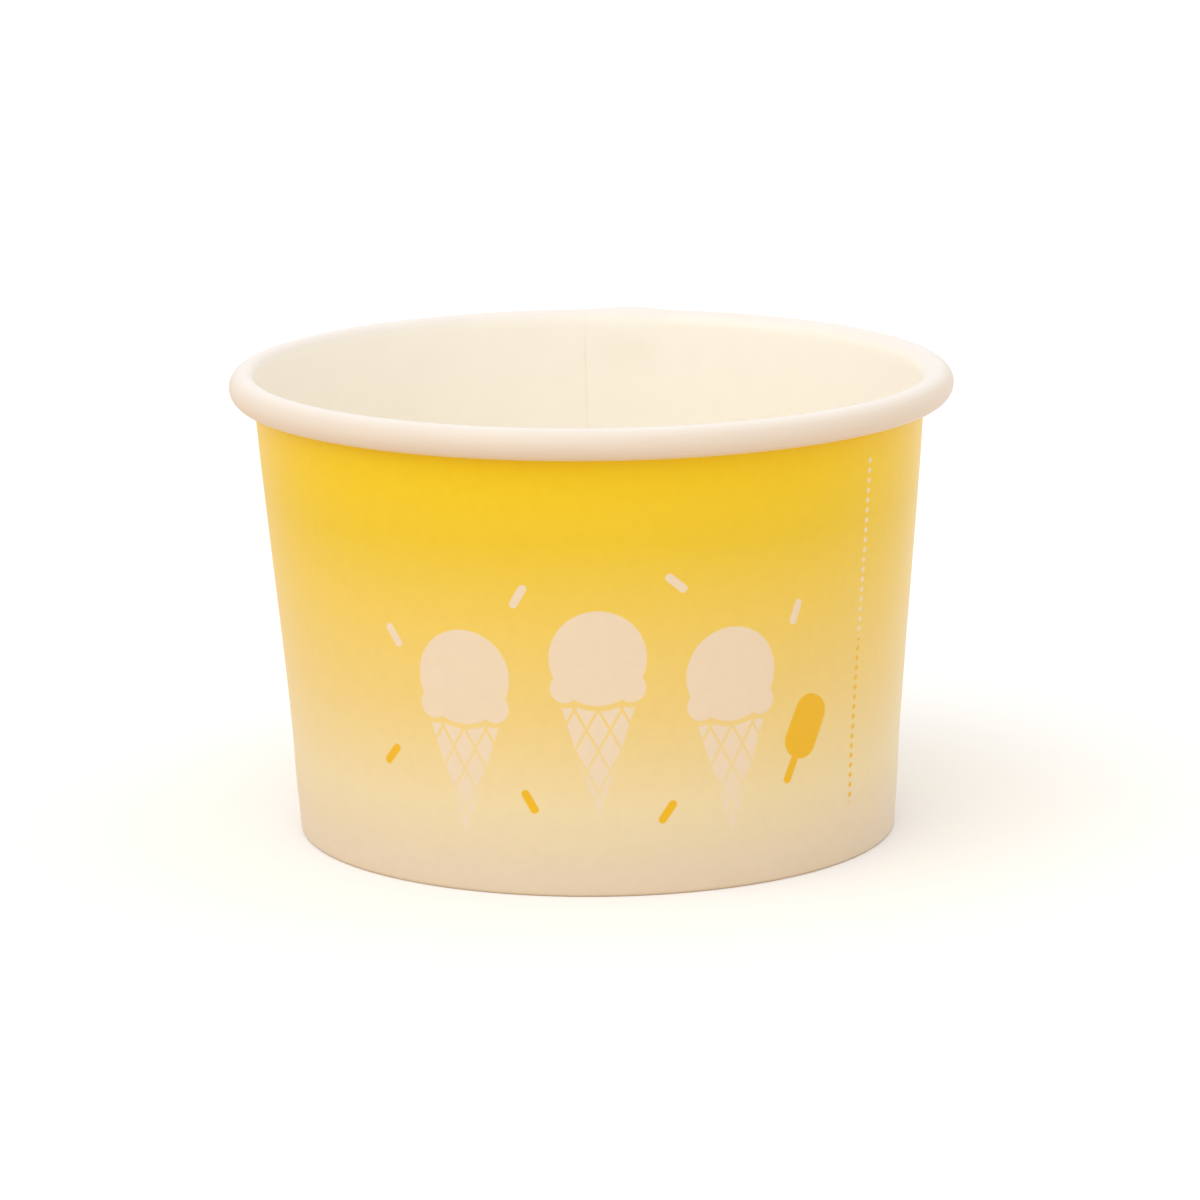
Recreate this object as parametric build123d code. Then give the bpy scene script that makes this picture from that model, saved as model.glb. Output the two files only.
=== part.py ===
from build123d import *
import os
from math import asin, atan2, cos, degrees, radians, sin, tan

# A paper ice cream cup, in millimetres. +Z is up, the origin is on the table under the middle of the base,
# and the seam of the side wall is at the back, close to +Y.

# Overall sizes
rim_diameter = 95.0  # over the rolled rim
base_diameter = 79.0  # over the bottom edge
cup_height = 61.5  # from the table to the top of the rolled rim

# Board, and the film of coating that seals two pieces together
wall_board = 0.40
disc_board = 0.36
seal_film = 0.03

# Rolled rim: an open turn, then a tighter one that tucks the cut edge inside, both in degrees
roll_diameter = 4.1
roll_gap = 0.10  # between the tucked board and the wall
open_turn = 225.0
tucked_turn = 200.0

# Hem and bottom disc
base_recess = 6.6  # from the table to the underside of the disc
disc_bend = 0.9  # radius of the board's middle where the disc turns down into its skirt
hem_clearance = 1.1  # from the underside of the disc down to the cut edge of the hem
skirt_clearance = 0.15  # from the middle of the fold up to the cut edge of the skirt
foot_press = 0.08  # how much the fold is pressed flat where the cup stands

# Lap seam: the outer end of the blank rises onto the inner end and is pressed a little into it
seam_azimuth = 85.7  # degrees from +X to the middle of the lap
lap_width = 7.0
lap_ramp = 4.0  # stretch over which one layer rises onto the other
lap_bite = 0.04
lap_corner = 0.5  # the lap's corners are cut back from the fold and from the roll
lap_lead = 25.0  # degrees of the roll's section by which its double layer starts inside the cup

# The middle of the wall's board is a straight run between the fold at the foot and the roll at the rim.
# Points of a section are (distance from the axis, height).
fold_radius = (wall_board + disc_board) / 2 + seal_film
roll_radius = (roll_diameter - wall_board) / 2
fold = Vector(base_diameter / 2 - fold_radius - wall_board / 2, fold_radius + wall_board / 2 - foot_press)
roll = Vector((rim_diameter - roll_diameter) / 2, cup_height - roll_diameter / 2)
reach = roll - fold
taper = atan2(reach.X, reach.Y) - asin((fold_radius + roll_radius) / reach.length)
up = Vector(sin(taper), cos(taper))
out = Vector(cos(taper), -sin(taper))
wall_foot = fold + out * fold_radius
wall_top = roll - out * roll_radius


def beside(edge, shift):
    """The line or arc that runs at a distance to the right of an edge of a section."""
    start, middle, end = [edge @ t + (edge % t).rotate(Axis.Z, -90) * shift for t in (0, 0.5, 1)]
    if edge.geom_type == GeomType.LINE:
        return Line(start, end)
    return ThreePointArc(start, middle, end)


def board_section(edges, board):
    """The section of a sheet of board whose middle follows the edges from end to end."""
    right = [beside(edge, board / 2) for edge in edges]
    left = [beside(edge, -board / 2) for edge in edges]
    first_cut = Line(right[0] @ 0, left[0] @ 0)
    last_cut = Line(right[-1] @ 1, left[-1] @ 1)
    return make_face([*right, *left, first_cut, last_cut])


def wall_at(height):
    """The middle of the wall's board at a height above the table."""
    return wall_foot + up * ((height - wall_foot.Y) / up.Y)


def wall_section():
    """Hem, fold, wall and rolled rim of the side wall, in the order in which the board runs."""
    hem_foot = fold - out * fold_radius
    hem_height = base_recess - hem_clearance
    hem_top = hem_foot + up * ((hem_height - hem_foot.Y) / up.Y)
    tucked_radius = roll_radius - (wall_board + roll_gap) / (1 - cos(radians(open_turn)))
    hem = Line(hem_top, hem_foot)
    fold_bend = JernArc(hem_foot, -up, fold_radius, 180)
    wall = Line(wall_foot, wall_top)
    open_roll = JernArc(wall_top, up, roll_radius, -open_turn)
    tucked_roll = JernArc(open_roll @ 1, open_roll % 1, tucked_radius, -tucked_turn)
    section = board_section([hem, fold_bend, wall, open_roll, tucked_roll], wall_board)
    below_table = Rectangle(base_diameter, wall_board, align=(Align.MIN, Align.MAX))
    return section - below_table


def disc_section():
    """Half of the bottom disc, from its middle out to the shoulder and down the skirt."""
    disc_middle = base_recess + disc_board / 2
    corner = fold + up * ((disc_middle - fold.Y) / up.Y)
    bend_angle = 90 + degrees(taper)
    bend_start = corner - Vector(disc_bend * tan(radians(bend_angle / 2)), 0)
    flat = Line(Vector(0, disc_middle), bend_start)
    shoulder = JernArc(bend_start, Vector(1, 0), disc_bend, -bend_angle)
    skirt = Line(shoulder @ 1, fold + up * skirt_clearance)
    return board_section([flat, shoulder, skirt], disc_board)


def upright(section, azimuth):
    """A section set upright in the half plane at an azimuth round the cup's axis."""
    return Rot(0, 0, azimuth) * (Plane.XZ * section)


def wall_strip(low, high, inner, outer):
    """The section of a strip along the wall, between two heights and two depths from the board's middle."""
    corners = [
        wall_at(low) + out * inner,
        wall_at(low) + out * outer,
        wall_at(high) + out * outer,
        wall_at(high) + out * inner,
    ]
    return make_face(Polyline(*corners, close=True))


def roll_strip(outer_radius):
    """The section of a layer round the open turn of the roll, from the middle of its board outwards."""
    start_angle = 180 - degrees(taper) + lap_lead
    inner = CenterArc(roll, roll_radius, start_angle, -lap_lead - open_turn)
    outer = CenterArc(roll, outer_radius, start_angle, -lap_lead - open_turn)
    return make_face([inner, outer, Line(inner @ 0, outer @ 0), Line(inner @ 1, outer @ 1)])


def side_wall():
    """The wrapped blank: a turned section, with the lap where one end lies over the other.

    The outer end comes from the right, seen from outside, rises over the cut edge of the inner end and stops at
    its own cut edge. In the roll the inner end is the outer layer, so there the rise is on the other side.
    """
    mean_radius = (wall_foot.X + wall_top.X) / 2
    lap_angle = degrees(lap_width / mean_radius)
    ramp_angle = degrees(lap_ramp / mean_radius)
    outer_edge = seam_azimuth - lap_angle / 2
    inner_edge = seam_azimuth + lap_angle / 2
    rise = wall_board - lap_bite
    low = wall_foot.Y + lap_corner
    high = cup_height - roll_diameter - lap_corner
    floor = base_recess + disc_board

    lap_high = wall_strip(low, high, 0, wall_board / 2 + rise)
    lap_low = wall_strip(low, high, 0, wall_board / 2 + lap_bite)
    hollow_deep = wall_strip(floor, high, -wall_board, rise - wall_board / 2)
    hollow_shallow = wall_strip(floor, high, -wall_board, lap_bite - wall_board / 2)
    roll_high = roll_strip(roll_diameter / 2 + rise)
    roll_low = roll_strip(roll_diameter / 2 + lap_bite)

    wall = revolve(upright(wall_section(), seam_azimuth), Axis.Z)
    lap = revolve(upright(lap_high, outer_edge), Axis.Z, lap_angle)
    lap += loft([upright(lap_high, inner_edge), upright(lap_low, inner_edge + ramp_angle)], ruled=True)
    hollow = loft([upright(hollow_deep, inner_edge), upright(hollow_shallow, inner_edge + ramp_angle)], ruled=True)
    roll_lap = revolve(upright(roll_high, outer_edge), Axis.Z, lap_angle)
    roll_lap += loft([upright(roll_low, outer_edge - ramp_angle), upright(roll_high, outer_edge)], ruled=True)
    return wall + lap + roll_lap - hollow


def bottom_disc():
    """The pressed disc, turned from its half section."""
    return revolve(upright(disc_section(), 0), Axis.Z)


os.makedirs("parts", exist_ok=True)
export_step(side_wall(), "parts/side_wall.step")
export_step(bottom_disc(), "parts/bottom_disc.step")
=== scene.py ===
from math import asin, atan2, cos, pi, radians, sin, tan

import bmesh
import bpy
from mathutils import Matrix, Vector


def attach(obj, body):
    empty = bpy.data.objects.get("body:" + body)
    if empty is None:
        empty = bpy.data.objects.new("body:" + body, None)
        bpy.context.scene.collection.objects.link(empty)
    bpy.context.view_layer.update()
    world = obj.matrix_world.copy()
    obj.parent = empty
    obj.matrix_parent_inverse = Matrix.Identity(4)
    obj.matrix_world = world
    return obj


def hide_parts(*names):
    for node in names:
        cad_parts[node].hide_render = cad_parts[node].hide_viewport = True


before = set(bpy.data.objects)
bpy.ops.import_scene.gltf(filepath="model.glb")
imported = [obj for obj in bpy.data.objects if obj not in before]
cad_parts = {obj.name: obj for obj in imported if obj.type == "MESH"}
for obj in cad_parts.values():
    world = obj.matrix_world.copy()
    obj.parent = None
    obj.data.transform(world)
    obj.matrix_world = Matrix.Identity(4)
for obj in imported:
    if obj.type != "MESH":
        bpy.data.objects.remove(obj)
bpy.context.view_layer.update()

# Side wall
# One fan-shaped blank of cup board, printed on the outside and film-coated on the inside, is wrapped into a
# cone and heat-sealed along a lap at the back. Its foot is folded in round the skirt of the bottom disc and
# knurled, and its top edge is rolled outwards, so the rim shows the plain coated side of the board.

MM = 0.001
RIM_RADIUS = 47.5 * MM
BASE_RADIUS = 39.5 * MM
CUP_HEIGHT = 61.5 * MM
WALL_BOARD = 0.40 * MM
DISC_BOARD = 0.36 * MM
SEAL_FILM = 0.03 * MM
FOOT_PRESS = 0.08 * MM
ROLL_DIAMETER = 4.1 * MM
ROLL_GAP = 0.10 * MM
OPEN_TURN = radians(225)
TUCKED_TURN = radians(200)
HEM_HEIGHT = 5.5 * MM

# The middle of the board runs straight from the fold at the foot to the roll at the rim. Points of a section
# are (distance from the axis, height).
FOLD_RADIUS = (WALL_BOARD + DISC_BOARD) / 2 + SEAL_FILM
ROLL_RADIUS = (ROLL_DIAMETER - WALL_BOARD) / 2
TUCKED_RADIUS = ROLL_RADIUS - (WALL_BOARD + ROLL_GAP) / (1 - cos(OPEN_TURN))
fold = Vector((BASE_RADIUS - FOLD_RADIUS - WALL_BOARD / 2, FOLD_RADIUS + WALL_BOARD / 2 - FOOT_PRESS))
roll = Vector((RIM_RADIUS - ROLL_DIAMETER / 2, CUP_HEIGHT - ROLL_DIAMETER / 2))
reach = roll - fold
taper = atan2(reach.x, reach.y) - asin((FOLD_RADIUS + ROLL_RADIUS) / reach.length)
up = Vector((sin(taper), cos(taper)))
out = Vector((cos(taper), -sin(taper)))
wall_foot = fold + out * FOLD_RADIUS
wall_top = roll - out * ROLL_RADIUS


def turned(direction, angle):
    """A direction of a section, turned anticlockwise by an angle."""
    return Matrix.Rotation(angle, 2) @ direction


def wall_path():
    """The blank from hem to tucked edge: (middle of the board, way to its printed face, stretch, share)."""
    hem_foot = fold - out * FOLD_RADIUS
    hem_top = hem_foot + up * ((HEM_HEIGHT - hem_foot.y) / up.y)
    tucked = roll + turned(-out, -OPEN_TURN) * (ROLL_RADIUS - TUCKED_RADIUS)
    steps = {"hem": 7, "fold": 10, "wall": 36, "roll": 26, "tuck": 12}
    path = []
    for stretch, count in steps.items():
        for i in range(count + (stretch == "tuck")):
            share = i / count
            if stretch == "hem":
                spot, way = hem_top.lerp(hem_foot, share), -out
            elif stretch == "fold":
                way = turned(-out, pi * share)
                spot = fold + way * FOLD_RADIUS
            elif stretch == "wall":
                spot, way = wall_foot.lerp(wall_top, share), out
            elif stretch == "roll":
                way = -turned(-out, -OPEN_TURN * share)
                spot = roll - way * ROLL_RADIUS
            else:
                way = -turned(-out, -OPEN_TURN - TUCKED_TURN * share)
                spot = tucked - way * TUCKED_RADIUS
            path.append((spot, way, stretch, share))
    return path


def ease(start, end, value):
    """0 before start and 1 after end, with a smooth rise between them."""
    share = min(max((value - start) / (end - start), 0), 1)
    return share * share * (3 - 2 * share)


# No cup is a true cone: the wall is drawn in above the disc and pushed out under the roll, the board is never
# quite flat, and the body leans a little under its rim. Heights are shares of the wall's, and a wave of the
# board is (share of the cockle, waves round the cup, phase, twist up the wall).
WAIST = 0.15 * MM
UNDER_ROLL = 0.30 * MM
COCKLE = 0.08 * MM
LEAN = 0.38 * MM
WAIST_SHARES = (0.12, 0.22, 0.6)
FLARE_SHARES = (0.4, 0.9)
COCKLE_SHARES = (0.12, 0.35)
COCKLE_WAVES = ((0.5, 3, 1.0, 1), (0.3, 5, 2.3, -2), (0.2, 8, 0.7, 3))
ROLL_TOP_SHARE = (pi / 2 - taper) / OPEN_TURN
BODY_TUCK_SHARE = 0.6


def lean(height):
    """How far the body stands to the right at a height."""
    return LEAN * (1 - 2 * min(height / wall_top.y, 1))


def wall_bow(height, azimuth):
    """How far the wall stands out from the cone."""
    share = min(height / wall_top.y, 1)
    waist_low, waist_middle, waist_high = WAIST_SHARES
    waist = WAIST * ease(waist_low, waist_middle, share) * (1 - ease(waist_middle, waist_high, share))
    flare = UNDER_ROLL * ease(*FLARE_SHARES, share)
    waves = 0
    for wave_share, count, phase, twist in COCKLE_WAVES:
        waves += wave_share * sin(count * azimuth + phase + twist * share)
    cockle = COCKLE * waves * ease(*COCKLE_SHARES, share)
    return flare - waist + cockle


def body_share(stretch, share):
    """How much of the bow and the lean a place on the blank takes: none on the roll's true outer round."""
    if stretch == "roll":
        return 1 - ease(0, ROLL_TOP_SHARE, share)
    return ease(0, BODY_TUCK_SHARE, share) if stretch == "tuck" else 1


# Lap seam at the back: the inner end of the blank is pressed thin at its cut edge, so the inside is nearly
# smooth. In the roll the board is turned over, so there the inner end is the outer layer. The hem is knurled
# on its inner side, where the sealing wheel pressed it.
SEAM_AZIMUTH = radians(85.7)
LAP_WIDTH = 7.0 * MM
LAP_RAMP = 4.0 * MM
BUTT_GAP = 0.05 * MM
PRESSED_EDGE = 0.06 * MM
PRESSED_WIDTH = 5.0 * MM
ROLL_LAP_RISE = 0.34 * MM
LAP_FOOT = 5.4 * MM
LAP_TUCK_SHARE = 0.25
TUCK_FADE_SHARE = 0.65
WALL_END = 54.8 * MM
ROLL_START = 58.0 * MM
KNURLS = 120
KNURL_DEPTH = 0.12 * MM
KNURL_FOOT = 1.2 * MM
KNURL_FULL = 1.8 * MM

mean_radius = (wall_foot.x + wall_top.x) / 2
lap_angle = LAP_WIDTH / mean_radius
ramp_angle = LAP_RAMP / mean_radius
inner_edge = SEAM_AZIMUTH + lap_angle / 2
lap_columns, ring_columns = 9, 468
wall_line = wall_path()
wall_turns = [lap_angle * j / lap_columns for j in range(lap_columns)]
wall_turns += [lap_angle + (2 * pi - lap_angle) * j / ring_columns for j in range(ring_columns)]
wall_turns += [2 * pi + lap_angle * j / lap_columns for j in range(lap_columns)]
wall_turns += [2 * pi + lap_angle - BUTT_GAP / mean_radius]


def lap_rise(past_edge):
    """How far the outer end of the blank is lifted, by its way past the cut edge of the inner end."""
    over_edge = PRESSED_EDGE * ease(-LAP_RAMP / 2, 0, past_edge)
    return over_edge + (WALL_BOARD + SEAL_FILM - PRESSED_EDGE) * ease(0, PRESSED_WIDTH, past_edge)


def in_roll(i):
    """1 where the board is in the open turn of the roll, falling to 0 down the wall and where it tucks in."""
    spot, way, stretch, share = wall_line[i]
    if stretch == "wall":
        return ease(WALL_END, ROLL_START, spot.y)
    if stretch == "tuck":
        return 1 - ease(LAP_TUCK_SHARE, TUCK_FADE_SHARE, share)
    return 1 if stretch == "roll" else 0


def wall_point(i, j, face):
    """A point of the side wall on its printed face, 1, or its coated one, -1."""
    spot, way, stretch, share = wall_line[i]
    turn = wall_turns[j]
    azimuth = inner_edge - turn
    rolled = in_roll(i)
    shift = face * WALL_BOARD / 2
    if stretch == "wall":
        shift += lap_rise((turn - 2 * pi) * mean_radius) * (1 - rolled) * ease(0, LAP_FOOT, spot.y)
    pressed = lap_rise(turn * mean_radius) / (WALL_BOARD + SEAL_FILM)
    settled = 1 - ease(lap_angle, lap_angle + ramp_angle, turn)
    if face > 0:
        shift -= (WALL_BOARD + SEAL_FILM) * settled * rolled
        shift -= (WALL_BOARD + SEAL_FILM) * (1 - pressed) * (1 - rolled) * (stretch == "wall")
    else:
        shift -= ROLL_LAP_RISE * pressed * settled * rolled
    if stretch == "hem" and face > 0:
        knurl = (1 + cos(KNURLS * azimuth)) / 2
        shift -= KNURL_DEPTH * knurl * ease(KNURL_FOOT, KNURL_FULL, spot.y)
    radius, height = spot + way * shift
    body = body_share(stretch, share)
    radius += wall_bow(height, azimuth) * body
    aside = lean(height) * body
    return Vector((radius * cos(azimuth) + aside, radius * sin(azimuth), max(height, 0)))


def wall_kept(i, j):
    """The inner end of the blank has its corners cut off, so that hem and tucked edge have one layer."""
    spot, way, stretch, share = wall_line[i]
    cut_low = stretch in ("hem", "fold") or spot.y < LAP_FOOT
    cut_high = stretch == "tuck" and share >= LAP_TUCK_SHARE
    return j >= lap_columns or not (cut_low or cut_high)


MERGE_REACH = 0.0001 * MM


def board_mesh(name, rows, columns, point, kept=None, closed=False):
    """A mesh of bent board, from a grid of points on both faces, which may close on itself round the cup.

    Faces of the printed or lower side have material 0, those of the coated side 1 and cut edges 2.
    """
    points = [point(i, j, face) for face in (1, -1) for i in range(rows) for j in range(columns)]
    around = columns if closed else columns - 1
    cells = {(i, j) for i in range(rows - 1) for j in range(around) if kept is None or kept(i, j)}
    back = rows * columns
    faces, slots, rims = [], [], set()
    for i, j in sorted(cells):
        a, b = i * columns + j, i * columns + (j + 1) % columns
        c, d = b + columns, a + columns
        faces += [(d, c, b, a), (back + a, back + b, back + c, back + d)]
        slots += [0, 1]
        before, after = ((j - 1) % columns, (j + 1) % columns) if closed else (j - 1, j + 1)
        sides = {(i - 1, j): (b, a), (i, after): (c, b), (i + 1, j): (d, c), (i, before): (a, d)}
        for beyond, (p, q) in sides.items():
            if beyond not in cells and points[p] != points[q]:
                faces.append((q, p, back + p, back + q))
                slots.append(2)
                rims |= {frozenset((p, q)), frozenset((back + p, back + q))}
    used = {old: new for new, old in enumerate(sorted({index for face in faces for index in face}))}
    mesh = bpy.data.meshes.new(name)
    mesh.from_pydata([points[old] for old in used], [], [[used[index] for index in face] for face in faces])
    mesh.polygons.foreach_set("use_smooth", [True] * len(faces))
    mesh.polygons.foreach_set("material_index", slots)
    sharp = {frozenset(used[index] for index in rim) for rim in rims}
    for edge in mesh.edges:
        edge.use_edge_sharp = frozenset(edge.vertices) in sharp
    shell = bmesh.new()
    shell.from_mesh(mesh)
    bmesh.ops.remove_doubles(shell, verts=shell.verts, dist=MERGE_REACH)
    shell.to_mesh(mesh)
    shell.free()
    return mesh


wall_mesh = board_mesh("side_wall_board", len(wall_line), len(wall_turns), wall_point, wall_kept)
side_wall = bpy.data.objects.new("side_wall_board", wall_mesh)
bpy.context.scene.collection.objects.link(side_wall)


def linear(colour):
    """An sRGB hex colour as linear RGBA."""
    shares = [int(colour[i:i + 2], 16) / 255 for i in (1, 3, 5)]
    return (*[s / 12.92 if s <= 0.04045 else ((s + 0.055) / 1.055) ** 2.4 for s in shares], 1)


def new_material(name):
    """An empty node material and its tree."""
    material = bpy.data.materials.new(name)
    material.use_nodes = True
    material.node_tree.nodes.clear()
    return material, material.node_tree


def add(tree, kind, inputs=(), **settings):
    """Adds a node with its settings. Its inputs, in order or by name, are values or what feeds them."""
    made = tree.nodes.new("ShaderNode" + kind)
    for name, value in settings.items():
        setattr(made, name, value)
    for key, value in inputs.items() if isinstance(inputs, dict) else enumerate(inputs):
        if isinstance(value, bpy.types.Node):
            value = value.outputs[0]
        if isinstance(value, bpy.types.NodeSocket):
            tree.links.new(value, made.inputs[key])
        else:
            made.inputs[key].default_value = value
    return made


# Printed cup board: bleached board with a clay coat, printed in a yellow that fades to cream and sealed with
# a satin varnish, so the eye gets even colour with a soft sheen at the sides and a faint fibre mottle. The
# fibres are drawn coarser than they are, so that they show. Stops of the fade are heights in millimetres.
PRINT_STOPS = {3: "#E7DAC2", 12: "#EFE0B2", 24: "#F1D788", 36: "#F2D361", 46: "#F0CE30", 56: "#F9D405"}
PRINT_HEIGHT = 60.0
MOTTLE_MM = 1.6
FIBRE_MM = 0.5
FIBRE_DEPTH = 0.02 * MM
FIBRE_STRENGTH = 0.2
VARNISH_IOR = 1.36
printed_board, tree = new_material("printed_cup_board")
place = add(tree, "TexCoord").outputs["Object"]
axes = add(tree, "SeparateXYZ", [place]).outputs
height = add(tree, "Math", [axes["Z"], 1 / MM], operation="MULTIPLY")
towards = add(tree, "Math", [axes["Y"], -1], operation="MULTIPLY")
azimuth = add(tree, "Math", [axes["X"], towards], operation="ARCTAN2")
radius = add(tree, "Math", [height, tan(taper), BASE_RADIUS / MM], operation="MULTIPLY_ADD")
around = add(tree, "Math", [azimuth, radius], operation="MULTIPLY")
spot = add(tree, "CombineXYZ", [around, height, 0])

fade = add(tree, "Math", [height, PRINT_HEIGHT], operation="DIVIDE")
ramp = add(tree, "ValToRGB", [fade])
stops = ramp.color_ramp.elements
stops.remove(stops[1])
for stop, colour in PRINT_STOPS.items():
    element = stops[0] if stop == min(PRINT_STOPS) else stops.new(stop / PRINT_HEIGHT)
    element.position = stop / PRINT_HEIGHT
    element.color = linear(colour)

# Print on the front, in millimetres round the wall from the front and up from the table: three ice creams in
# cones, the middle one higher. Each shape is the distance to its outline, which is negative inside.
CREAM_INK = "#EFDFC4"
CONES = 3
CONES_MIDDLE = 0.5
CONE_SPACING = 17.5
MIDDLE_RAISED = 3.0
SCOOP_HEIGHT = 28.5
SCOOP_RADIUS = 6.2
FRILLS = 4
FRILL_HEIGHT = 24.6
FRILL_RADIUS = 1.9
FRILL_SPACING = 2.8
CONE_TOP = 25.0
CONE_TIP = 7.5
CONE_HALF_WIDTH = 5.6
OUTLINE = 0.7
HATCH_SPACING = 3.0
HATCH_WIDTH = 0.4
HATCH_LEAN = 0.55

from_middle = add(tree, "Math", [around, CONES_MIDDLE], operation="SUBTRACT")
off_middle = add(tree, "Math", [from_middle], operation="ABSOLUTE")
in_middle = add(tree, "Math", [off_middle, CONE_SPACING / 2], operation="LESS_THAN")
across = add(tree, "Math", [from_middle, CONE_SPACING / 2, -CONE_SPACING / 2], operation="WRAP")
beside = add(tree, "Math", [across], operation="ABSOLUTE")
level = add(tree, "Math", [in_middle, -MIDDLE_RAISED, height], operation="MULTIPLY_ADD")
cone_spot = add(tree, "CombineXYZ", [across, level, 0])
scoop_middle = (0, SCOOP_HEIGHT, 0)
scoop_reach = add(tree, "VectorMath", [cone_spot, scoop_middle], operation="DISTANCE").outputs["Value"]
scoop = add(tree, "Math", [scoop_reach, SCOOP_RADIUS], operation="SUBTRACT")
frill_step = add(tree, "Math", [across, FRILL_SPACING], operation="SNAP")
frill_middle = add(tree, "Math", [frill_step, FRILL_SPACING / 2], operation="ADD")
last_frill = (FRILLS - 1) / 2 * FRILL_SPACING
frill_kept = add(tree, "Clamp", [frill_middle, -last_frill, last_frill])
frill_spot = add(tree, "CombineXYZ", [frill_kept, FRILL_HEIGHT, 0])
frill_reach = add(tree, "VectorMath", [cone_spot, frill_spot], operation="DISTANCE").outputs["Value"]
frill = add(tree, "Math", [frill_reach, FRILL_RADIUS], operation="SUBTRACT")
scoop_shape = add(tree, "Math", [scoop, frill], operation="MINIMUM")
above_tip = add(tree, "Math", [level, CONE_TIP], operation="SUBTRACT")
half_width = add(tree, "Math", [above_tip, CONE_HALF_WIDTH / (CONE_TOP - CONE_TIP)], operation="MULTIPLY")
cone_side = add(tree, "Math", [beside, half_width], operation="SUBTRACT")
cone_lid = add(tree, "Math", [level, CONE_TOP], operation="SUBTRACT")
cone_shape = add(tree, "Math", [cone_side, cone_lid], operation="MAXIMUM")
off_scoop = add(tree, "Math", [OUTLINE, scoop_shape], operation="SUBTRACT")
cone_shape = add(tree, "Math", [cone_shape, off_scoop], operation="MAXIMUM")
for slant in (HATCH_LEAN, -HATCH_LEAN):
    slanted = add(tree, "Math", [level, slant, across], operation="MULTIPLY_ADD")
    hatch = add(tree, "Math", [slanted, HATCH_SPACING / 2, -HATCH_SPACING / 2], operation="WRAP")
    off_hatch = add(tree, "Math", [hatch], operation="ABSOLUTE")
    hatch_shape = add(tree, "Math", [HATCH_WIDTH / 2, off_hatch], operation="SUBTRACT")
    cone_shape = add(tree, "Math", [cone_shape, hatch_shape], operation="MAXIMUM")
cone_shape = add(tree, "Math", [scoop_shape, cone_shape], operation="MINIMUM")
past_cones = add(tree, "Math", [off_middle, CONES / 2 * CONE_SPACING], operation="SUBTRACT")
cream_shape = add(tree, "Math", [cone_shape, past_cones], operation="MAXIMUM")

# Round them lie sprinkles, cream and yellow, and a small yellow lolly on its stick: bars with round corners,
# each as its middle, its tilt and its form, which is (half width, half length, corner radius).
YELLOW_INK = "#F0BF24"
SPRINKLE = (0.55, 1.7, 0.55)
LOLLY = (2.7, 4.3, 2.4)
STICK = (0.6, 1.9, 0.5)
CREAM_BARS = [
    ((-27.0, 33.0), radians(35), SPRINKLE),
    ((-9.5, 39.5), radians(-30), SPRINKLE),
    ((10.5, 41.0), radians(50), SPRINKLE),
    ((27.5, 35.5), radians(-20), SPRINKLE),
]
YELLOW_BARS = [
    ((-28.0, 17.0), radians(-40), SPRINKLE),
    ((-8.3, 12.5), radians(30), SPRINKLE),
    ((9.3, 11.0), radians(-35), SPRINKLE),
    ((29.5, 20.0), radians(-25), LOLLY),
    ((27.0, 14.6), radians(-25), STICK),
]
yellow_shape = None
for bars in (CREAM_BARS, YELLOW_BARS):
    for (aside, above), tilt, (bar_width, bar_length, corner) in bars:
        turned_spot = add(tree, "Mapping", [spot, (aside, above, 0), (0, 0, tilt)], vector_type="TEXTURE")
        quarter = add(tree, "VectorMath", [turned_spot], operation="ABSOLUTE")
        core = (bar_width - corner, bar_length - corner, 0)
        past_core = add(tree, "VectorMath", [quarter, core], operation="SUBTRACT")
        outside = add(tree, "VectorMath", [past_core, (0, 0, 0)], operation="MAXIMUM")
        bar_reach = add(tree, "VectorMath", [outside], operation="LENGTH").outputs["Value"]
        bar = add(tree, "Math", [bar_reach, corner], operation="SUBTRACT")
        if bars is CREAM_BARS:
            cream_shape = add(tree, "Math", [cream_shape, bar], operation="MINIMUM")
        elif yellow_shape:
            yellow_shape = add(tree, "Math", [yellow_shape, bar], operation="MINIMUM")
        else:
            yellow_shape = bar

# A dotted rule runs up the right side, cream on the yellow and yellow on the cream.
RULE_AZIMUTH = radians(54.7)
RULE_DOT = 0.35
RULE_SPACING = 1.3
RULE_LOW = 8.0
RULE_HIGH = 54.0
RULE_CHANGE = 30.0
rule_turn = add(tree, "Math", [azimuth, RULE_AZIMUTH], operation="SUBTRACT")
rule_across = add(tree, "Math", [rule_turn, radius], operation="MULTIPLY")
rule_up = add(tree, "Math", [height, RULE_SPACING / 2, -RULE_SPACING / 2], operation="WRAP")
rule_spot = add(tree, "CombineXYZ", [rule_across, rule_up, 0])
rule_reach = add(tree, "VectorMath", [rule_spot], operation="LENGTH").outputs["Value"]
rule_dot = add(tree, "Math", [rule_reach, RULE_DOT], operation="SUBTRACT")
for low, high, cream in ((RULE_LOW, RULE_CHANGE, False), (RULE_CHANGE, RULE_HIGH, True)):
    from_centre = add(tree, "Math", [height, (low + high) / 2], operation="SUBTRACT")
    off_centre = add(tree, "Math", [from_centre], operation="ABSOLUTE")
    past_rule = add(tree, "Math", [off_centre, (high - low) / 2], operation="SUBTRACT")
    rule_shape = add(tree, "Math", [rule_dot, past_rule], operation="MAXIMUM")
    if cream:
        cream_shape = add(tree, "Math", [cream_shape, rule_shape], operation="MINIMUM")
    else:
        yellow_shape = add(tree, "Math", [yellow_shape, rule_shape], operation="MINIMUM")

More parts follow.
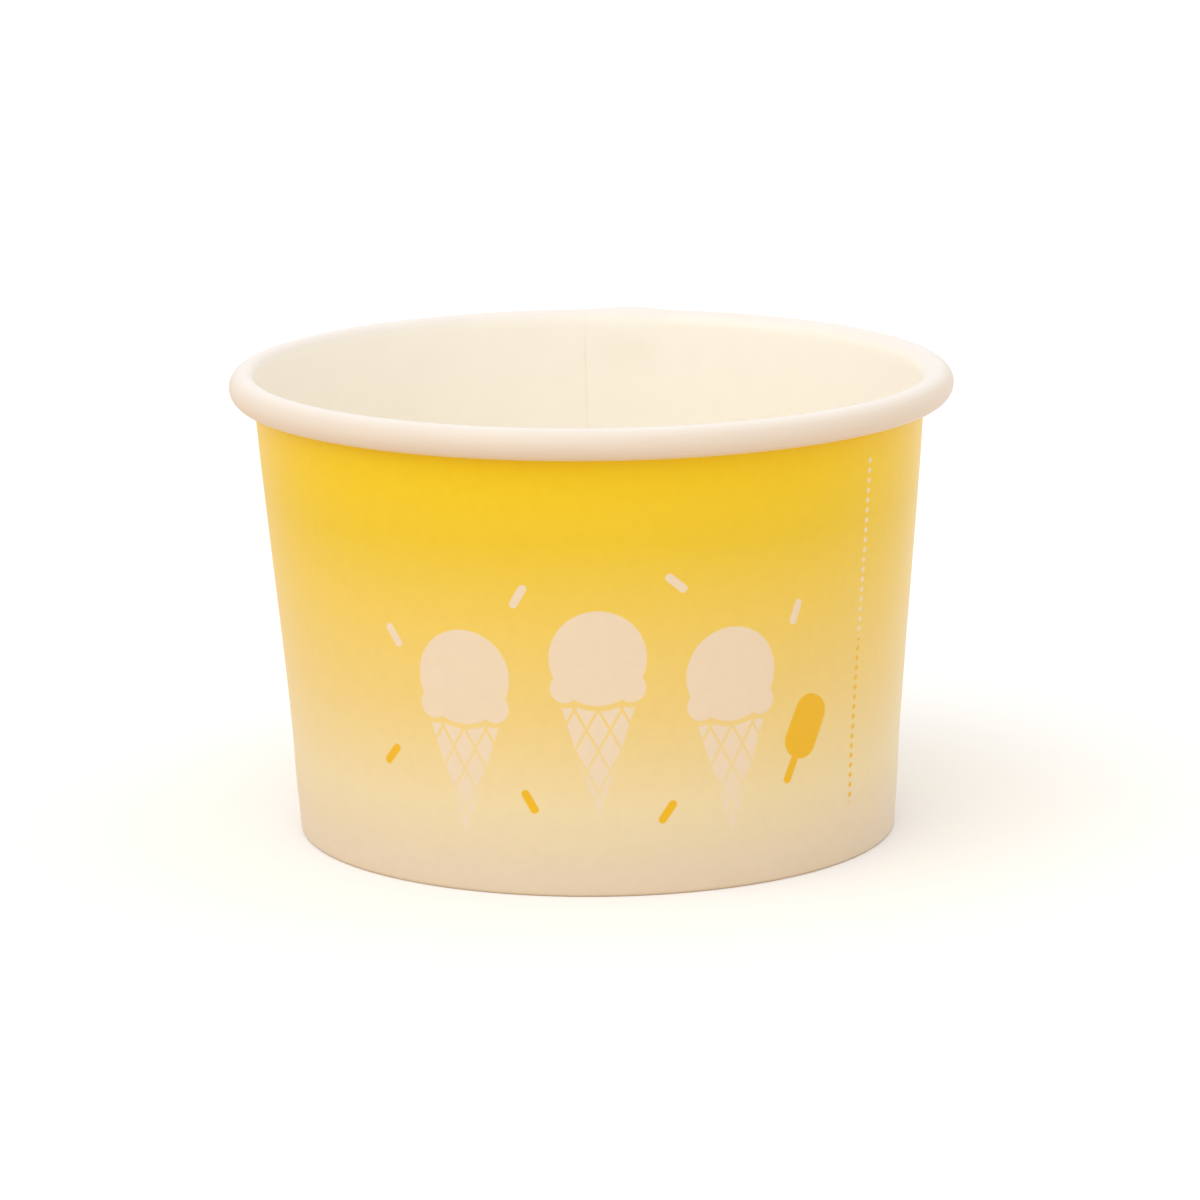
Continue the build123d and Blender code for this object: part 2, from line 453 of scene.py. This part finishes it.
# Ink has a soft edge. Noise keeps mostly within its span, which is spread over the tones of a surface.
INK_EDGE = 0.06
NOISE_SPAN = {"From Min": 0.3, "From Max": 0.7}
inked = ramp.outputs["Color"]
for shape, ink in ((cream_shape, CREAM_INK), (yellow_shape, YELLOW_INK)):
    covered = add(tree, "MapRange", {"Value": shape, "From Min": INK_EDGE, "From Max": -INK_EDGE})
    inks = {"Factor": covered, "A": inked, "B": linear(ink)}
    inked = add(tree, "Mix", inks, data_type="RGBA").outputs["Result"]
mottle = add(tree, "TexNoise", {"Vector": place, "Scale": 1 / (MOTTLE_MM * MM), "Detail": 4})
density = add(tree, "MapRange", {"Value": mottle, **NOISE_SPAN, "To Min": 0.985, "To Max": 1.01})
printed = add(tree, "VectorMath", {0: inked, "Scale": density}, operation="SCALE")
gloss = add(tree, "MapRange", {"Value": mottle, "To Min": 0.27, "To Max": 0.37})
fibre = add(tree, "TexNoise", {"Vector": place, "Scale": 1 / (FIBRE_MM * MM), "Detail": 3})
relief = add(tree, "Bump", {"Height": fibre, "Strength": FIBRE_STRENGTH, "Distance": FIBRE_DEPTH})
varnish = {"Base Color": printed, "Roughness": gloss, "IOR": VARNISH_IOR, "Normal": relief}
add(tree, "OutputMaterial", [add(tree, "BsdfPrincipled", varnish)])

# Coated cup board: the same board under a clear polyethylene film, warm white with a soft and slightly uneven
# gloss. Over the top of the rim it is painted a duller white, and on the outside of the roll a darker tan:
# painted shade for how the light falls on the rim and the warm shade under the roll. The places where it
# changes are measured from the middle of the roll, upwards, inwards and across it.
COATED_WHITE = "#FDF6E8"
RIM_PAINTED_SHADE = "#F2E9E0"
ROLL_PAINTED_SHADE = "#E8DAC9"
CLOUD_MM = 4.8
FILM_IOR = 1.5
RIM_LOW = 0.5 * MM
RIM_HIGH = 1.7 * MM
ROLL_INSIDE = 1.0 * MM
ROLL_NEAR = -1.7 * MM
ROLL_FAR = 0.5 * MM
coated_board, tree = new_material("film_coated_cup_board")
place = add(tree, "TexCoord").outputs["Object"]
axes = add(tree, "SeparateXYZ", [place]).outputs
flat_place = add(tree, "CombineXYZ", [axes["X"], axes["Y"], 0])
from_axis = add(tree, "VectorMath", [flat_place], operation="LENGTH").outputs["Value"]
out_of_roll = add(tree, "Math", [from_axis, axes["Z"]], operation="SUBTRACT")
roll_middle = roll.x - roll.y
over_rim = {"Value": axes["Z"], "From Min": roll.y + RIM_LOW, "From Max": roll.y + RIM_HIGH}
past_wall = {"Value": from_axis, "From Min": roll.x - ROLL_INSIDE, "From Max": roll.x}
rolled = {"Value": out_of_roll, "From Min": roll_middle + ROLL_NEAR, "From Max": roll_middle + ROLL_FAR}
over_roll = [add(tree, "MapRange", rolled), add(tree, "MapRange", past_wall)]
rim_shade_share = add(tree, "MapRange", over_rim)
roll_shade_share = add(tree, "Math", over_roll, operation="MULTIPLY")
# The top of the rim and the outside of the roll take painted shade: duller whites in place of how the light
# falls there.
white = linear(COATED_WHITE)
for reached, painted_shade in ((rim_shade_share, RIM_PAINTED_SHADE), (roll_shade_share, ROLL_PAINTED_SHADE)):
    whites = {"Factor": reached, "A": white, "B": linear(painted_shade)}
    white = add(tree, "Mix", whites, data_type="RGBA").outputs["Result"]
cloud = add(tree, "TexNoise", {"Vector": place, "Scale": 1 / (CLOUD_MM * MM), "Detail": 5})
tone = add(tree, "MapRange", {"Value": cloud, **NOISE_SPAN, "To Min": 0.99, "To Max": 1.005})
white = add(tree, "VectorMath", {0: white, "Scale": tone}, operation="SCALE")
gloss = add(tree, "MapRange", {"Value": cloud, "To Min": 0.3, "To Max": 0.42})
fibre = add(tree, "TexNoise", {"Vector": place, "Scale": 1 / (FIBRE_MM * MM), "Detail": 3})
relief = add(tree, "Bump", {"Height": fibre, "Strength": FIBRE_STRENGTH, "Distance": FIBRE_DEPTH})
film = {"Base Color": white, "Roughness": gloss, "IOR": FILM_IOR, "Normal": relief}
add(tree, "OutputMaterial", [add(tree, "BsdfPrincipled", film)])

# Raw cut board: bare fibres between the two coats, matt and a little darker than the faces, and drawn coarse
# enough to show.
CUT_EDGE = "#EBDFC8"
EDGE_FIBRE_MM = 0.3
EDGE_ROUGHNESS = 0.85
cut_board, tree = new_material("raw_cut_board")
place = add(tree, "TexCoord").outputs["Object"]
fibre = add(tree, "TexNoise", {"Vector": place, "Scale": 1 / (EDGE_FIBRE_MM * MM), "Detail": 4})
tone = add(tree, "MapRange", {"Value": fibre, **NOISE_SPAN, "To Min": 0.92, "To Max": 1.05})
raw = add(tree, "VectorMath", {0: linear(CUT_EDGE)[:3], "Scale": tone}, operation="SCALE")
add(tree, "OutputMaterial", [add(tree, "BsdfPrincipled", {"Base Color": raw, "Roughness": EDGE_ROUGHNESS})])

for material in (printed_board, coated_board, cut_board):
    wall_mesh.materials.append(material)
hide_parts("side_wall")
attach(side_wall, "root")

# Bottom disc
# A round blank of the same board, pressed into a shallow tray and set in upside down, so that its skirt is
# sealed between the wall and the hem. Its film-coated side is up.

DISC_TOP = 6.96 * MM
DISC_BEND = 0.9 * MM
SKIRT_CLEARANCE = 0.15 * MM
DISC_SAG = 0.25 * MM
SAG_SHARE = 0.9


def disc_path():
    """The disc from its middle to the foot of its skirt: (middle of the board, way to its lower face)."""
    disc_middle = DISC_TOP - DISC_BOARD / 2
    corner = fold + up * ((disc_middle - fold.y) / up.y)
    bend_angle = pi / 2 + taper
    bend_start = corner - Vector((DISC_BEND * tan(bend_angle / 2), 0))
    bend_middle = bend_start - Vector((0, DISC_BEND))
    skirt_foot = fold + up * SKIRT_CLEARANCE
    flat_steps, bend_steps, skirt_steps = 24, 8, 4
    lift = Vector((0, 1))
    path = []
    for i in range(flat_steps):
        share = i / flat_steps
        path.append((bend_start * share + lift * (disc_middle - bend_start.y * share), -lift))
    for i in range(bend_steps + 1):
        way = turned(lift, -bend_angle * i / bend_steps)
        path.append((bend_middle + way * DISC_BEND, -way))
    skirt_top = path[-1][0]
    path += [(skirt_top.lerp(skirt_foot, i / skirt_steps), -out) for i in range(1, skirt_steps + 1)]
    return path


disc_columns = 240
disc_line = disc_path()
disc_turns = [2 * pi * j / disc_columns for j in range(disc_columns)]


def disc_point(i, j, face):
    """A point of the bottom disc on its lower face, 1, or its coated one, -1. The disc sags in the middle."""
    spot, way = disc_line[i]
    azimuth = -disc_turns[j]
    radius, height = spot + way * face * DISC_BOARD / 2
    sag = DISC_SAG * (1 - ease(0, SAG_SHARE * BASE_RADIUS, radius))
    return Vector((radius * cos(azimuth) + lean(height), radius * sin(azimuth), height - sag))


disc_mesh = board_mesh("bottom_disc_board", len(disc_line), disc_columns, disc_point, closed=True)
bottom_disc = bpy.data.objects.new("bottom_disc_board", disc_mesh)
bpy.context.scene.collection.objects.link(bottom_disc)

# Uncoated cup board: the disc's underside, soft and matt, with faint fibre clouds.
UNCOATED = "#F1E6D2"
UNCOATED_ROUGHNESS = 0.8
FELT_DEPTH = 0.03 * MM
FELT_STRENGTH = 0.25
uncoated_board, tree = new_material("uncoated_cup_board")
place = add(tree, "TexCoord").outputs["Object"]
cloud = add(tree, "TexNoise", {"Vector": place, "Scale": 1 / (MOTTLE_MM * MM), "Detail": 6})
tone = add(tree, "MapRange", {"Value": cloud, **NOISE_SPAN, "To Min": 0.97, "To Max": 1.02})
raw = add(tree, "VectorMath", {0: linear(UNCOATED)[:3], "Scale": tone}, operation="SCALE")
relief = add(tree, "Bump", {"Height": cloud, "Strength": FELT_STRENGTH, "Distance": FELT_DEPTH})
felt = {"Base Color": raw, "Roughness": UNCOATED_ROUGHNESS, "Normal": relief}
add(tree, "OutputMaterial", [add(tree, "BsdfPrincipled", felt)])

for material in (uncoated_board, coated_board, cut_board):
    disc_mesh.materials.append(material)
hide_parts("bottom_disc")
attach(bottom_disc, "root")

# Table
# A plain sheet of pale peach card, which gives the underside of the rim its warm tone. It is lit to white
# where it is seen, and keeps the cup's shadow. In reflections only it is painted a duller colour at the left,
# a painted reflection that dims the varnish's sheen on the cup's left side.

FLOOR_HALF = 3000 * MM
CARD = "#EAD4BE"
CARD_PAINTED_REFLECTION = "#F3E6D9"
SHEEN_HALF = 50 * MM
corners = [(-FLOOR_HALF, -FLOOR_HALF, 0), (FLOOR_HALF, -FLOOR_HALF, 0), (FLOOR_HALF, FLOOR_HALF, 0)]
corners.append((-FLOOR_HALF, FLOOR_HALF, 0))
floor_mesh = bpy.data.meshes.new("floor")
floor_mesh.from_pydata(corners, [], [range(4)])
floor = bpy.data.objects.new("floor", floor_mesh)
bpy.context.scene.collection.objects.link(floor)
table_card, tree = new_material("table_card")
paths = add(tree, "LightPath").outputs
seen = add(tree, "Math", [paths["Is Camera Ray"], paths["Is Glossy Ray"]], operation="MAXIMUM")
seen = add(tree, "Math", [seen, paths["Is Transmission Ray"]], operation="MAXIMUM")
aside = add(tree, "SeparateXYZ", [add(tree, "TexCoord").outputs["Object"]]).outputs["X"]
to_left = add(tree, "MapRange", {"Value": aside, "From Min": SHEEN_HALF, "From Max": -SHEEN_HALF})
# Painted reflection: glossy rays see the card duller towards the left.
painted_reflection_share = add(tree, "Math", [paths["Is Glossy Ray"], to_left], operation="MULTIPLY")
whites = {"Factor": painted_reflection_share, "A": linear("#FFFFFF"), "B": linear(CARD_PAINTED_REFLECTION)}
white = add(tree, "Mix", whites, data_type="RGBA").outputs["Result"]
card = add(tree, "Mix", {"Factor": seen, "A": linear(CARD), "B": white}, data_type="RGBA")
add(tree, "OutputMaterial", [add(tree, "BsdfDiffuse", {"Color": card.outputs["Result"]})])
floor_mesh.materials.append(table_card)

# Light
# An even white room and a broad soft light from the upper left. Together they light the cup at about the
# level its colours are written for.

ROOM_STRENGTH = 0.93
world = bpy.data.worlds.new("white_room")
bpy.context.scene.world = world
world.use_nodes = True
tree = world.node_tree
tree.nodes.clear()
paths = add(tree, "LightPath").outputs
seen = add(tree, "Math", [paths["Is Camera Ray"], paths["Is Glossy Ray"]], operation="MAXIMUM")
seen = add(tree, "Math", [seen, paths["Is Transmission Ray"]], operation="MAXIMUM")
level = add(tree, "MapRange", {"Value": seen, "To Min": ROOM_STRENGTH, "To Max": 1})
add(tree, "OutputWorld", [add(tree, "Background", {"Color": linear("#FFFFFF"), "Strength": level})])

KEY_FROM = Vector((-0.34, -0.50, 0.75))
KEY_STRENGTH = 0.72
KEY_SPREAD = radians(65)
key = bpy.data.lights.new("key", "SUN")
key.energy = KEY_STRENGTH
key.angle = KEY_SPREAD
key_lamp = bpy.data.objects.new("key", key)
key_lamp.location = KEY_FROM
key_lamp.rotation_euler = (-KEY_FROM).to_track_quat("-Z", "Y").to_euler()
bpy.context.scene.collection.objects.link(key_lamp)

# Camera
# The photograph's view: a long lens a little above the rim, with the cup tipped very slightly in the frame.

FRAME_PX = 1200
FOCAL_PX = 5804
CUP_MIDDLE_PX = (593.2, 594.6)
DISTANCE = 767.8 * MM
ELEVATION = radians(12.14)
TIP = radians(0.506)
cup_middle = Vector((0, 0, CUP_HEIGHT / 2))
camera_data = bpy.data.cameras.new("camera")
camera_data.lens = camera_data.sensor_width * FOCAL_PX / FRAME_PX
camera_data.shift_x = 0.5 - CUP_MIDDLE_PX[0] / FRAME_PX
camera_data.shift_y = CUP_MIDDLE_PX[1] / FRAME_PX - 0.5
camera = bpy.data.objects.new("camera", camera_data)
look = Vector((0, cos(ELEVATION), -sin(ELEVATION)))
camera.location = cup_middle - look * DISTANCE
aim = look.to_track_quat("-Z", "Y").to_matrix() @ Matrix.Rotation(-TIP, 3, "Z")
camera.rotation_euler = aim.to_euler()
bpy.context.scene.collection.objects.link(camera)
bpy.context.scene.camera = camera
bpy.context.scene.view_settings.view_transform = "Standard"
